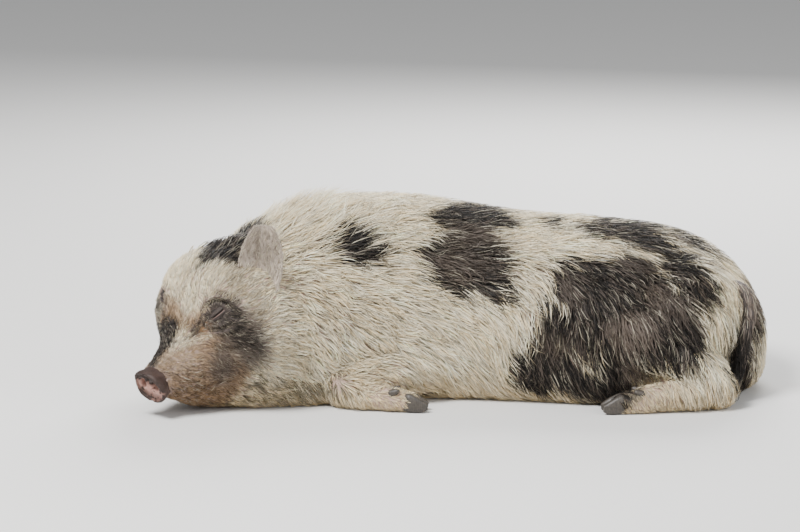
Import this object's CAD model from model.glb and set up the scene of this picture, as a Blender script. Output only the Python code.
"""The looks of a Goettingen minipig sow asleep on her belly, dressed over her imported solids.

One skin goes over head, neck, body, legs and tail. Her snout, ears, lids and claws are pieces of their
own, and her bristles are closed tapered strands that lie along the body. Metres, +Z up, faces -X.
"""

import math
from collections import namedtuple

import bmesh
import bpy
import numpy as np
from bpy.props import FloatProperty, FloatVectorProperty, IntProperty, PointerProperty
from mathutils import Matrix, Vector
from mathutils.bvhtree import BVHTree
from mathutils.kdtree import KDTree


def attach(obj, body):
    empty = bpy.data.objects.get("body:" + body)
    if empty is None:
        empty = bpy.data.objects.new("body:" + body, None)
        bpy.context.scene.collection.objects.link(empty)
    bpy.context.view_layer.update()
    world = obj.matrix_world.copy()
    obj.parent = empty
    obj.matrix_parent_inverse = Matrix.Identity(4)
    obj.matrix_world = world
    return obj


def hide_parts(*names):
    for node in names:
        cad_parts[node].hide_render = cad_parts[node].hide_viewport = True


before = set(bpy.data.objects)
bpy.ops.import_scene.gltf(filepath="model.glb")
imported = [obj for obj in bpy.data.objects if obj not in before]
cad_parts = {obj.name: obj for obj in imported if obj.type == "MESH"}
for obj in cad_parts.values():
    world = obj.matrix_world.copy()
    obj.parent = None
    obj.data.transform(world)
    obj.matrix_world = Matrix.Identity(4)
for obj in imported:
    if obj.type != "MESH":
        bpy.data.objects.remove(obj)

bl_info = {
    "name": "Sleeping minipig",
    "version": (1, 0, 0),
    "blender": (4, 5, 0),
    "location": "3D View > Sidebar > Minipig",
    "description": "Dresses the solids of a sleeping minipig sow in skin, bristles and claws",
    "category": "Add Mesh",
}

# Body: the same places and sizes as the solids
BACK_HEIGHT = 0.264
BODY_WIDTH = 0.384
HEAD_LENGTH = 0.270
EAR_LENGTH = 0.100
EAR_WIDTH = 0.060
FLOOR_SINK = 0.012
PLACE = Vector((-0.0107, 0.0282, 0))
TRUNK_STATIONS = (
    (-0.318, -0.150, 0.200, 0.730),
    (-0.262, -0.098, 0.330, 0.900),
    (-0.190, -0.042, 0.405, 0.990),
    (-0.105, -0.002, 0.445, 1.000),
    (0.000, 0.018, 0.480, 0.930),
    (0.110, 0.014, 0.500, 0.880),
    (0.210, -0.008, 0.490, 0.862),
    (0.296, -0.046, 0.455, 0.815),
    (0.364, -0.092, 0.420, 0.740),
    (0.412, -0.128, 0.390, 0.660),
)
WIDEST_AT = 0.38
RUMP_ROUNDING = 0.150
RUMP_HEIGHT = 0.066
BACK_POWER = 2.15
BELLY_POWER = 4.0
SNOUT_AT = Vector((-0.4131, -0.2543, 0.0450)) + PLACE
HEAD_YAW = math.radians(45)
HEAD_PITCH = math.radians(25)
HEAD_ROLL = math.radians(8)
HEAD_STATIONS = (
    (0.050, 0.092, 0.084, 0.084, 0.02),
    (0.100, 0.106, 0.084, 0.140, 0.08),
    (0.176, 0.140, 0.096, 0.235, 0.12),
    (0.276, 0.196, 0.146, 0.325, 0.14),
    (0.376, 0.302, 0.258, 0.392, 0.13),
    (0.476, 0.398, 0.372, 0.432, 0.11),
    (0.596, 0.432, 0.403, 0.452, 0.13),
    (0.736, 0.404, 0.378, 0.436, 0.21),
    (0.876, 0.330, 0.335, 0.360, 0.22),
    (0.996, 0.220, 0.240, 0.260, 0.15),
)
LEGS = {
    "foreleg_left": (
        ((-0.085, -0.110, 0.120), 0.050),
        ((-0.042, -0.140, 0.048), 0.034),
        ((-0.150, -0.182, 0.026), 0.024),
        ((-0.088, -0.206, 0.016), 0.0165),
        ((-0.062, -0.208, 0.013), 0.0140),
    ),
    "foreleg_right": (
        ((-0.115, 0.090, 0.120), 0.050),
        ((-0.060, 0.140, 0.052), 0.036),
        ((-0.180, 0.160, 0.026), 0.024),
        ((-0.118, 0.188, 0.016), 0.0165),
        ((-0.092, 0.192, 0.013), 0.0140),
    ),
    "hindleg_left": (
        ((0.330, -0.110, 0.120), 0.070),
        ((0.258, -0.158, 0.090), 0.052),
        ((0.362, -0.186, 0.030), 0.026),
        ((0.256, -0.215, 0.017), 0.0175),
        ((0.226, -0.218, 0.013), 0.0145),
    ),
    "hindleg_right": (
        ((0.345, 0.040, 0.110), 0.065),
        ((0.285, 0.120, 0.078), 0.050),
        ((0.392, 0.078, 0.028), 0.026),
        ((0.310, 0.166, 0.017), 0.0175),
        ((0.284, 0.184, 0.013), 0.0145),
    ),
}
# The same joints where she lies
JOINTS = {
    name: [(Vector(place) + PLACE, radius) for place, radius in joints] for name, joints in LEGS.items()
}
MUSCLES = {
    "foreleg_left": ((-0.080, -0.105, 0.110), (0.070, 0.050, 0.085)),
    "foreleg_right": ((-0.110, 0.085, 0.110), (0.070, 0.050, 0.085)),
    "hindleg_left": ((0.305, -0.130, 0.098), (0.088, 0.074, 0.082)),
    "hindleg_right": ((0.325, 0.060, 0.095), (0.085, 0.072, 0.078)),
}
SIDES = {"left": 1, "right": -1}
# Each ear's root on the head, the way its tip points and the way its hollow faces, in the head's axes
EARS = {
    1: ((0.173, 0.069, 0.074), (0.42, 0.0, 0.91), (-0.62, 0.70, 0.36)),
    -1: ((0.182, 0.080, 0.040), (0.55, 0.74, -0.30), (-0.30, 0.60, 0.74)),
}
EAR_ROOT_DEPTH = 0.014
EAR_HALF_THICKNESS = 0.0021
EAR_LEAN = 0.012
EAR_ROLL = 0.0085
EAR_WAVE = 0.0022
EAR_RIM = 0.0018
EAR_VEINS = 0.0008
CLAW_LENGTH = 0.026
CLAW_HALF_WIDTH = 0.0064
CLAW_HEIGHT = 0.0118
CLAW_SPREAD = 0.0068
CLAW_TURN_OUT = 0.05
DEWCLAW_RADIUS = 0.0052
# Each eye: how far behind the snout, and the way to it from the head's axis, to her left and up
EYE_WAYS = {1: (0.112, 0.56, 0.79), -1: (0.116, -0.82, 0.57)}
# The same eyes as places behind the snout, to her left and above the axis
EYE_SPOTS = ((0.112, 0.049, 0.069), (0.116, -0.0765, 0.0532))
LIDS_LENGTH = 0.042
LIDS_HEIGHT = 0.027
LIDS_DOME = 0.0060
LIDS_SINK = 0.0022
UPPER_LID = 0.0010
LOWER_LID = 0.0006
SLIT_DEPTH = 0.0028
# How far the slit sags between its ends, and how far it lies over the lids' middle
SLIT_SAG = 0.0026
SLIT_UP = 0.0006
TAIL_LENGTH = 0.150
TAIL_ROOT_HEIGHT = 0.158
TAIL_RADIUS = 0.0115
TAIL_TIP_RADIUS = 0.0015
TAIL_TAPER = 0.0066
MOUTH_DEPTH = 0.0042
MOUTH_HALF_WIDTH = 0.0024
SNOUT_HALF_WIDTH = 0.0262
SNOUT_UP = 0.0240
SNOUT_DOWN = 0.0225
NOSTRIL_OUT = 0.0108
NOSTRIL_UP = 0.0062
NOSTRIL_HALF_WIDTH = 0.0060
NOSTRIL_HALF_HEIGHT = 0.0068
NOSTRIL_DEPTH = 0.0125
# Least heights over the floor of skin and tail, claws, and hair
SKIN_CLEARANCE = 0.0006
CLAW_CLEARANCE = 0.0004
HAIR_CLEARANCE = 0.0012
# Where the face's short hair ends behind the snout
HEAD_END = 0.19
# How much further round the head her far eye is than the near one
FAR_TURN = math.radians(20)

# Floor and camera
FLOOR_WIDTH = 16.0
SENSOR_WIDTH = 36.0
CAMERA_DISTANCE = 4.2
CAMERA_HEIGHT_ANGLE = math.radians(11)
CAMERA_TARGET = Vector((-0.075, 0.0, 0.1624)) + PLACE
PIXELS_PER_METRE = 700
IMAGE_WIDTH = 800
IMAGE_HEIGHT = 532

# Markings on her near side: where each is in the picture, its half length and half height there in
# pixels, and its tilt in degrees, down to the right
BLACK_MARKS = (
    (361, 244, 28, 20, 38),
    (474, 218, 48, 17, 3),
    (468, 262, 46, 34, 8),
    (498, 284, 15, 20, -10),
    (556, 223, 14, 6, 4),
    (605, 227, 26, 12, 6),
    (640, 234, 36, 16, 12),
    (678, 257, 30, 20, 42),
    (703, 287, 19, 24, -24),
    (698, 241, 26, 8, 32),
    (584, 286, 34, 30, 0),
    (632, 286, 42, 32, 10),
    (668, 318, 34, 34, 35),
    (578, 318, 34, 26, 0),
    (690, 340, 18, 32, -22),
    (640, 342, 50, 34, 0),
    (566, 350, 36, 26, 0),
    (545, 374, 34, 24, 0),
    (604, 386, 36, 20, 0),
    (650, 366, 38, 12, 6),
    (744, 370, 14, 30, -20),
    (756, 315, 11, 31, -8),
    (749, 350, 10, 24, -14),
    (617, 399, 31, 12, -4, 8),
)
BROWN_MARKS = ((632, 334, 31, 21, -4, 9), (634, 377, 12, 7, 6, 5), (751, 298, 8, 18, -14, 8))
GRIZZLED_MARKS = (
    (476, 236, 30, 12, 8, 8),
    (462, 262, 34, 18, 10, 12),
    (572, 292, 14, 22, 10, 12),
    (640, 268, 26, 8, 12, 8),
    (664, 300, 26, 14, 30, 10),
    (684, 312, 20, 9, 40, 8),
    (560, 350, 24, 10, 20, 10),
)
WHITE_MARKS = (
    (596, 246, 28, 6.0, 4, 5),
    (570, 238, 14, 8.0, 0, 5),
    (647, 252, 11, 3.0, 8, 2),
    (690, 249, 25, 2.8, 38, 2),
    (573, 358, 20, 2.4, 41, 2),
    (562, 308, 16, 2.0, 52, 2),
    (690, 387, 36, 11, 8, 5),
    (763, 366, 5, 22, 8, 4),
)
CREST_MARKS = ((224, 245, 30, 15, -28), (247, 231, 22, 13, -38), (236, 251, 14, 9, -25))
# On the bridge of her nose, beyond its middle
BRIDGE_MARKS = (
    (166, 333, 12, 18, 6, 3),
    (161, 346, 7, 11, 18, 3),
    (157, 305, 5, 8, 0, 4),
    (154, 359, 5, 10, 28, 3),
)
# The face's, each with how soft its edge is, in pixels
FACE_MARKS = {
    "grey": (
        (240, 263, 13, 9, 10, 7),
        (244, 270, 12, 26, 25, 8),
        (226, 304, 32, 20, -10, 14),
        (252, 312, 22, 32, 0, 14),
    ),
    "brown": (
        (200, 376, 50, 34, -8, 12),
        (184, 394, 40, 20, 0, 10),
        (200, 320, 14, 18, 25, 9),
        (218, 346, 30, 12, -16, 12),
    ),
    "tear": ((204, 330, 9, 4, -20, 4),),
    "dark": (
        (224, 316, 24, 17, -16, 8),
        (240, 328, 28, 22, 20, 12),
        (250, 349, 26, 18, 32, 14),
        (223, 363, 12, 22, 14, 12),
    ),
    "black": ((247, 339, 25, 15, 36, 16), (232, 324, 20, 12, 14, 12)),
    "cream": ((296, 386, 50, 26, -20, 12), (180, 341, 14, 7, -32, 9), (190, 290, 22, 26, 0, 14)),
    "mist": ((184, 361, 22, 11, -22, 9),),
    "shade": ((226, 366, 11, 20, 14, 9),),
    "crease": (
        (220, 303, 15, 3.4, -4, 3),
        (236, 312, 12, 5, 30, 5),
        (205, 320, 4, 9, 25, 3),
        (199, 327, 12, 3.6, -46, 3),
    ),
}
# Where dark hairs stand among the pale ones
STREAKED_MARKS = ((226, 388, 40, 22, -12, 14), (190, 384, 34, 20, 0, 12), (300, 392, 60, 12, 0, 12))
# Creases of the face in the picture: points along each, half width and depth in millimetres
CREASES = (
    (((204, 311), (208, 304), (215, 300), (223, 301), (230, 306), (243, 315)), 1.8, 4.0),
    (((206, 317), (203, 321), (199, 327), (192, 334), (184, 339)), 1.8, 3.6),
    (((205, 325), (212, 330), (222, 329), (233, 322)), 1.8, 2.8),
    (((209, 334), (222, 337), (236, 332), (249, 323)), 2.2, 2.0),
    (((206, 296), (215, 292), (226, 294), (240, 302)), 2.2, 1.8),
    (((197, 312), (193, 320), (186, 328)), 2.0, 1.8),
    (((233, 313), (245, 321), (256, 332)), 2.2, 2.0),
    (((212, 347), (232, 349), (252, 343)), 3.0, 2.0),
    (((174, 353), (186, 344), (199, 339)), 2.6, 1.6),
    (((158, 362), (166, 360), (174, 364)), 1.8, 1.2),
)
# The same for folds of the body
BODY_CREASES = (
    (((606, 398), (594, 376), (590, 350), (598, 328), (618, 313)), 5.0, 7.0),
    (((618, 313), (640, 307), (662, 316), (674, 338), (670, 360)), 5.0, 4.0),
    (((604, 372), (630, 366), (660, 372), (690, 384)), 4.0, 5.0),
    (((300, 392), (292, 360), (294, 330), (304, 300)), 6.0, 4.0),
    (((724, 392), (728, 366), (736, 334)), 4.0, 4.0),
    (((500, 396), (530, 386), (560, 392)), 5.0, 3.0),
)
# Swellings of the body in the picture: place, half size and height in millimetres
BODY_SWELLINGS = ((630, 338, 34, 9.0), (682, 330, 40, 3.0), (355, 300, 50, 4.0), (560, 330, 50, 2.5))
# Round the eye in the picture: the bare wrinkled skin and the rusty stain below it
BARE_MARKS = ((217, 311, 22, 16, -30), (203, 322, 6, 15, 40))
TEAR_MARKS = ((206, 328, 7, 4, -20),)
# Forms of the face: place behind the snout, to her left and up, size, and how far each stands out
FACE_FORMS = (
    ((0.112, 0.049, 0.070), 0.016, -0.0036),
    ((0.114, 0.035, 0.086), 0.018, 0.0040),
    ((0.088, 0.038, 0.052), 0.016, 0.0025),
    ((0.116, 0.064, 0.050), 0.014, 0.0034),
    ((0.138, 0.086, 0.030), 0.034, 0.0040),
    ((0.158, 0.030, 0.098), 0.030, 0.0020),
    ((0.060, 0.000, 0.026), 0.026, -0.0015),
    ((0.045, 0.034, -0.004), 0.014, 0.0020),
)
# Folds of the skin: a line between two points, its width and its depth
FOLDS = (
    ((-0.262, -0.235, 0.020), (-0.240, -0.150, 0.200), 0.012, 0.006),
    ((0.215, -0.200, 0.040), (0.245, -0.185, 0.150), 0.012, 0.006),
    ((0.225, -0.205, 0.050), (0.300, -0.215, 0.045), 0.010, 0.005),
    ((-0.110, -0.190, 0.020), (-0.060, -0.180, 0.100), 0.012, 0.004),
)


def through(places, values, at):
    """Values on a smooth curve through the stations, for the places in at."""
    places, values = np.asarray(places, float), np.asarray(values, float)
    slopes = np.gradient(values, places, axis=0)
    index = np.clip(np.searchsorted(places, at, side="right") - 1, 0, len(places) - 2)
    span = (places[index + 1] - places[index]).reshape(-1, 1)
    t = (np.asarray(at).reshape(-1, 1) - places[index].reshape(-1, 1)) / span
    start, end = values[index], values[index + 1]
    return (
        (2 * t**3 - 3 * t**2 + 1) * start
        + (t**3 - 2 * t**2 + t) * span * slopes[index]
        + (3 * t**2 - 2 * t**3) * end
        + (t**3 - t**2) * span * slopes[index + 1]
    )


def smooth(low, high, value):
    """0 below low, 1 above high, and an even slope between."""
    t = np.clip((value - low) / (high - low), 0, 1)
    return t * t * (3 - 2 * t)


def bell(away, width):
    """1 where away is 0, falling to a third at this width and on to 0."""
    return np.exp(-((away / width) ** 2))


def unit(vectors):
    """The vectors at length 1."""
    return vectors / np.maximum(np.linalg.norm(vectors, axis=-1, keepdims=True), 1e-9)


def dots(first, second):
    """Row by row dot products, as a column."""
    return np.sum(first * second, axis=-1, keepdims=True)


def blend(colours, share, tone):
    """The colours with another laid over them, by its share at each place."""
    share = np.reshape(share, (-1, 1))
    return colours * (1 - share) + np.asarray(tone) * share


def rough(points, size, seed):
    """Soft random values from -1 to 1 that change over this size."""
    cells = points / size
    low = np.floor(cells).astype(np.int64)
    part = cells - low
    part = part * part * (3 - 2 * part)
    total = np.zeros(len(points))
    for corner in range(8):
        step = np.array([corner >> 2 & 1, corner >> 1 & 1, corner & 1])
        place = low + step
        mixed = place[:, 0] * 73856093 ^ place[:, 1] * 19349663 ^ place[:, 2] * 83492791 ^ seed * 2654435
        mixed = (mixed ^ mixed >> 13) * 1274126177 & 0x7FFFFFFF
        mixed = (mixed ^ mixed >> 15) % 65536
        weight = np.prod(np.where(step, part, 1 - part), axis=1)
        total += weight * (mixed / 32768 - 1)
    return total


# Shapes


def section(side, up, down, high_power, low_power, spread, count):
    """Across and up places of a rounded outline whose low half is wider by spread."""
    angle = np.arange(count) * 2 * math.pi / count - math.pi / 2
    cosine, sine = np.cos(angle), np.sin(angle)
    power = np.where(sine > 0, 2 / high_power, 2 / low_power)
    across = side * np.sign(cosine) * np.abs(cosine) ** power * (1 - spread * sine)
    height = np.where(sine > 0, up, down) * np.sign(sine) * np.abs(sine) ** power
    return across, height


def trunk_line(count):
    """Rows of spine place, half width and back height at even steps from throat to tail."""
    stations = np.array(TRUNK_STATIONS)
    steps = np.hypot(*np.diff(stations[:, :2], axis=0).T)
    places = np.concatenate([[0], np.cumsum(steps)])
    at = np.linspace(0, places[-1], count)
    rows = through(places, stations, at)
    rows[:, 0] += PLACE.x
    rows[:, 1] += PLACE.y
    rows[:, 2] *= BODY_WIDTH
    rows[:, 3] *= BACK_HEIGHT
    return at, rows


def trunk_rings(inset, count, sides):
    """The trunk's outlines under the coat, rounded off over the rump."""
    even = np.linspace(0, 1, count)
    at, rows = trunk_line(300)
    wanted = at[-1] * (1 - (1 - even) ** 1.25)
    rows = np.column_stack([np.interp(wanted, at, rows[:, k]) for k in range(4)])
    turned = unit(np.gradient(rows[:, :2], wanted, axis=0))
    rings = []
    for place, (x, y, half, top), (along_x, along_y) in zip(wanted, rows, turned):
        past = max(0.0, place + inset - (at[-1] - RUMP_ROUNDING)) / RUMP_ROUNDING
        share = math.sqrt(max(1 - past**2, 0.0004))
        past = min(past, 1)
        middle = WIDEST_AT * top * (1 - past) + RUMP_HEIGHT * past
        up = (top - inset - middle) * share
        down = middle * share**0.6 + FLOOR_SINK
        side = (half - inset) * share
        across, height = section(side, up, down, BACK_POWER, BELLY_POWER, 0, sides)
        rings.append(np.column_stack([x - along_y * across, y + along_x * across, middle + height]))
    return rings


HEAD_TURN = Matrix.Rotation(HEAD_YAW, 3, "Z") @ Matrix.Rotation(-HEAD_PITCH, 3, "Y")
HEAD_TURN = HEAD_TURN @ Matrix.Rotation(HEAD_ROLL, 3, "X")
# Unit ways back along the head, out to her left and up through her forehead
ALONG, OUT, HIGH = (HEAD_TURN @ Vector(way) for way in ((1, 0, 0), (0, -1, 0), (0, 0, 1)))
AXES = np.array([ALONG, OUT, HIGH])
SNOUT = np.array(SNOUT_AT)


def on_head(back, left, up):
    """The point this far behind the snout, to her left and above the axis of her head."""
    return SNOUT_AT + ALONG * back + OUT * left + HIGH * up


def all_on_head(back, left, up):
    """The same for arrays."""
    return SNOUT + np.outer(back, AXES[0]) + np.outer(left, AXES[1]) + np.outer(up, AXES[2])


def head_places(points):
    """How far each point is behind the snout, to her left and above the axis of her head."""
    away = np.asarray(points) - SNOUT
    return [away @ axis for axis in AXES]


EYES = [on_head(*spot) for spot in EYE_SPOTS]


def head_rings(inset, count, sides):
    """The head's outlines under the short coat, from behind the snout to inside the neck."""
    stations = np.array(HEAD_STATIONS)
    stations[:, :4] *= HEAD_LENGTH
    at = np.linspace(stations[0, 0], stations[-1, 0], count)
    rows = through(stations[:, 0], stations, at)
    rings = []
    for back, side, up, down, spread in rows:
        less = inset * smooth(0.01, 0.10, back)
        across, height = section(side - less, up - less, down - less, 2.2, 2.3, spread, sides)
        rings.append(all_on_head(back, across, height))
    return rings


def round_rings(path, radii, sides):
    """Round outlines along a path, with a radius at each of its points."""
    rings = []
    for number, (middle, radius) in enumerate(zip(path, radii)):
        along = path[min(number + 1, len(path) - 1)] - path[max(number - 1, 0)]
        along.normalize()
        across = along.cross(Vector((0, 0, 1))).normalized()
        other = along.cross(across)
        turns = [2 * math.pi * k / sides for k in range(sides)]
        ring = [middle + (across * math.cos(turn) + other * math.sin(turn)) * radius for turn in turns]
        rings.append(np.array(ring))
    return rings


def bar_rings(start, end, first, last):
    """Outlines of a bar with ball ends, tapered from one radius to the other."""
    along = (end - start).normalized()
    steps = [math.radians(a) for a in (-84, -60, -30, 0)]
    places = [start + along * first * math.sin(a) for a in steps]
    places += [end - along * last * math.sin(a) for a in reversed(steps)]
    radii = [first * math.cos(a) for a in steps] + [last * math.cos(a) for a in reversed(steps)]
    return round_rings(places, radii, 24)


def ball_rings(centre, radii, rows=16, sides=28):
    """Outlines of an ellipsoid."""
    turns = np.arange(sides) * 2 * math.pi / sides
    rings = []
    for slope in (math.pi * step / rows for step in range(1, rows)):
        across, along = radii[0] * math.sin(slope) * np.cos(turns), radii[1] * math.sin(slope) * np.sin(turns)
        height = np.full(sides, radii[2] * math.cos(slope))
        rings.append(np.column_stack([across, along, height]) + np.array(centre))
    return rings


def loft(rings):
    """Points and faces of a closed body through rings, its two ends closed by fans."""
    count = len(rings[0])
    points = [tuple(p) for ring in rings for p in ring]
    points += [tuple(np.mean(rings[0], axis=0)), tuple(np.mean(rings[-1], axis=0))]
    first, last = len(points) - 2, len(points) - 1
    faces = []
    for ring in range(len(rings) - 1):
        low, high = ring * count, (ring + 1) * count
        for side in range(count):
            after = (side + 1) % count
            faces.append((low + side, low + after, high + after, high + side))
    end = (len(rings) - 1) * count
    for side in range(count):
        after = (side + 1) % count
        faces.append((first, after, side))
        faces.append((last, end + side, end + after))
    return points, faces


def linked(name, data):
    """A new object in the scene that shows this data."""
    made = bpy.data.objects.new(name, data)
    bpy.context.scene.collection.objects.link(made)
    return made


def body_from(name, parts):
    """A new object of several closed bodies, each turned to face outwards."""
    shape = bmesh.new()
    for points, faces in parts:
        verts = [shape.verts.new(p) for p in points]
        for face in faces:
            shape.faces.new([verts[v] for v in face])
    bmesh.ops.recalc_face_normals(shape, faces=shape.faces)
    mesh = bpy.data.meshes.new(name)
    shape.to_mesh(mesh)
    shape.free()
    return linked(name, mesh)


def apply_modifiers(source):
    """Replaces the object's mesh by what its modifiers make of it."""
    graph = bpy.context.evaluated_depsgraph_get()
    mesh = bpy.data.meshes.new_from_object(source.evaluated_get(graph))
    source.modifiers.clear()
    source.data = mesh


def places_of(mesh):
    """Every vertex's place and normal, as arrays."""
    places = np.empty(len(mesh.vertices) * 3, np.float32)
    mesh.vertices.foreach_get("co", places)
    normals = np.empty(len(mesh.vertices) * 3, np.float32)
    mesh.vertex_normals.foreach_get("vector", normals)
    return places.reshape(-1, 3).astype(float), normals.reshape(-1, 3).astype(float)


def put_places(mesh, places):
    """Moves every vertex to its new place."""
    mesh.vertices.foreach_set("co", places.astype(np.float32).ravel())
    mesh.update()


def lift(mesh, least):
    """Raises to this height what lies lower."""
    places, _ = places_of(mesh)
    places[:, 2] = np.maximum(places[:, 2], least)
    put_places(mesh, places)


def finish_piece(made, finish, slot, *nodes):
    """Gives a piece its material, lets it ride on the body and stand for its nodes."""
    made.data.materials.append(finish)
    made.data.shade_smooth()
    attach(made, "root")
    if nodes:
        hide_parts(*nodes)


def search_tree(mesh):
    """A search tree of a mesh's surface."""
    shape = bmesh.new()
    shape.from_mesh(mesh)
    tree = BVHTree.FromBMesh(shape)
    shape.free()
    return tree


# Where things are on her

# Height of the middle line as a share of the back's, rounds of smoothing it, and points placed at once
SPINE_HEIGHT = 0.42
SPINE_SMOOTHING = 12
AT_ONCE = 20000


def spine_line():
    """Points along the middle of head and trunk, the way to the tail at each, and its place along."""
    face = [np.array(on_head(back, 0, 0)) for back in np.linspace(0, HEAD_END, 20)]
    _, rows = trunk_line(90)
    start = int(np.argmin(np.hypot(rows[:, 0] - face[-1][0], rows[:, 1] - face[-1][1]))) + 6
    body = [np.array([x, y, SPINE_HEIGHT * top]) for x, y, _, top in rows[start:]]
    line = np.array(face + body)
    for _ in range(SPINE_SMOOTHING):
        line[1:-1] = (line[:-2] + 2 * line[1:-1] + line[2:]) / 4
    steps = np.linalg.norm(np.diff(line, axis=0), axis=1)
    return line, unit(np.gradient(line, axis=0)), np.concatenate([[0], np.cumsum(steps)])


SPINE, SPINE_WAYS, SPINE_PLACES = spine_line()


def along_body(points):
    """For each point: number of the nearest spine point, its place along, and the turn round the spine."""
    nearest = np.empty(len(points), int)
    for start in range(0, len(points), AT_ONCE):
        some = points[start : start + AT_ONCE]
        apart = ((some[:, None, :2] - SPINE[None, :, :2]) ** 2).sum(axis=2)
        nearest[start : start + AT_ONCE] = apart.argmin(axis=1)
    ways = SPINE_WAYS[nearest]
    left = unit(np.cross(ways, np.array([0, 0, 1.0])))
    left = np.where(left[:, 1:2] > 0, -left, left)
    away = points - SPINE[nearest]
    side = dots(away, left)[:, 0]
    return nearest, SPINE_PLACES[nearest], side, left, np.arctan2(side, away[:, 2])


def in_picture(points):
    """Where the camera sees each point, in pixels across and down the picture."""
    tilt = CAMERA_HEIGHT_ANGLE
    back = np.array([0, -math.cos(tilt), math.sin(tilt)])
    up = np.array([0, math.sin(tilt), math.cos(tilt)])
    away = points - np.array(CAMERA_TARGET)
    scale = PIXELS_PER_METRE * CAMERA_DISTANCE / (CAMERA_DISTANCE - away @ back)
    return IMAGE_WIDTH / 2 + away[:, 0] * scale, IMAGE_HEIGHT / 2 - away @ up * scale


def inside_marks(marks, across, down, ragged, soft=5.0):
    """How far inside the marks each place is: 1 well inside, 0 outside."""
    most = np.zeros(len(across))
    for x, y, half_length, half_height, tilt, *own in marks:
        turn = math.radians(tilt)
        along = (across - x) * math.cos(turn) + (down - y) * math.sin(turn)
        other = (down - y) * math.cos(turn) - (across - x) * math.sin(turn)
        away = np.hypot(along / half_length, other / half_height)
        edge = (own[0] if own else soft) / min(half_length, half_height)
        rough_edge = ragged * min(1.1, 7.0 / min(half_length, half_height))
        most = np.maximum(most, 1 - smooth(1 - edge * 0.5, 1 + edge * 0.5, away + rough_edge))
    return most


def near_side(points):
    """Each point, or for the head's far side the place on the near one that looks the same."""
    back, out, up = head_places(points)
    slope = np.arctan2(up, np.abs(out))
    turned = slope + FAR_TURN * (1 - smooth(math.radians(40), math.radians(90), slope)) * (out < 0)
    away = np.hypot(out, up)
    return all_on_head(back, away * np.cos(turned), away * np.sin(turned))


def on_face(points):
    """1 on the head, 0 behind its neck."""
    back, out, _ = head_places(points)
    return 1 - smooth(HEAD_END - 0.02, HEAD_END + 0.05, back + 0.3 * np.abs(out))


# How far the marks of her far side stand from where the near ones would be, in pixels
FAR_SIDE_SHIFT = 64.0
# How the marks are laid one over another: the marks, the tone's name and how strong it is
BODY_LAYERS = (
    (BLACK_MARKS, "black", 1.0),
    (GRIZZLED_MARKS, "brown", 0.50),
    (BROWN_MARKS, "brown", 0.92),
    (WHITE_MARKS, "cream", 0.9),
)
FACE_LAYERS = {
    "grey": ("brown", 0.45),
    "brown": ("rust", 0.88),
    "tear": ("stain", 0.75),
    "dark": ("brown", 0.88),
    "black": ("black", 0.80),
    "cream": ("cream", 0.75),
    "mist": ("cream", 0.20),
    "shade": ("brown", 0.50),
    "crease": ("black", 0.80),
}


def coat_colours(points, settings):
    """The colour of the coat at each place, with its patches."""
    _, _, side, left, _ = along_body(points)
    back, out, up = head_places(points)
    face = on_face(points)
    ragged = 0.55 * rough(points, 0.030, 3) + 0.45 * rough(points, 0.011, 4)
    near = smooth(-0.125, -0.085, side)
    here = in_picture(points)
    across, down = in_picture(points + 2 * np.maximum(-side, 0)[:, None] * left)
    face_here = in_picture(near_side(points))
    colour = np.tile(np.array(settings.cream), (len(points), 1))
    for marks, tone, strength in BODY_LAYERS:
        share = inside_marks(marks, *here, ragged) * near
        share = share + inside_marks(marks, across - FAR_SIDE_SHIFT, down, ragged) * (1 - near)
        share = np.clip(share, 0, 1) * (1 - face) * strength
        colour = blend(colour, share, getattr(settings, tone))
    for name, (tone, strength) in FACE_LAYERS.items():
        share = inside_marks(FACE_MARKS[name], *face_here, ragged * 0.7) * face * strength
        if name != "brown":
            share = share * (1 - 0.6 * (out < -0.02))
        colour = blend(colour, share, getattr(settings, tone))
    share = inside_marks(CREST_MARKS, *here, ragged) * (1 - smooth(0.060, 0.082, np.abs(out)))
    colour = blend(colour, share, settings.black)
    on_bridge = face * (out < 0.012) * smooth(-0.02, 0.0, up) * (1 - smooth(0.11, 0.13, back))
    return blend(colour, inside_marks(BRIDGE_MARKS, *here, ragged * 0.6) * on_bridge, settings.black)


def coat_way(points, normals):
    """The way the coat lies: from the nose back over the head, towards the tail, down on flank and rump."""
    nearest, place, side, _, _ = along_body(points)
    ways = SPINE_WAYS[nearest]
    low = np.clip((0.262 - points[:, 2]) / 0.16, 0, 1)
    rear = smooth(0.35, 0.85, place)
    angle = np.radians(8 + 18 * low + (10 + 14 * low) * rear)
    angle += np.radians(34) * low * smooth(0.28, 0.38, points[:, 0])
    swirl = np.exp(-(((points[:, 0] - 0.12) / 0.07) ** 2) - ((points[:, 2] - 0.13) / 0.06) ** 2)
    angle += np.radians(36) * swirl * (side > 0)
    angle += np.radians(11) * rough(points, 0.07, 11) + np.radians(8) * rough(points, 0.03, 12)
    down = np.array([0, 0, -1.0])
    way = ways * np.cos(angle)[:, None] + down * np.sin(angle)[:, None]
    for eye in EYES:
        away = points - np.array(eye)
        way = way + unit(away) * bell(np.linalg.norm(away, axis=1), 0.026)[:, None] * 0.9
    way = way - normals * dots(way, normals)
    return unit(way)


# Shader nodes


class Value:
    """A socket in a material, on which sums and products add their own nodes."""

    def __init__(self, finish, socket):
        self.finish = finish
        self.socket = socket

    def maths(self, operation, first, second):
        """A Math node on two values."""
        return self.finish.node("ShaderNodeMath", {"operation": operation}, {0: first, 1: second})

    def __add__(self, other):
        return self.maths("ADD", self, other)

    def __radd__(self, other):
        return self.maths("ADD", other, self)

    def __mul__(self, other):
        return self.maths("MULTIPLY", self, other)

    def __rmul__(self, other):
        return self.maths("MULTIPLY", other, self)


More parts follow.
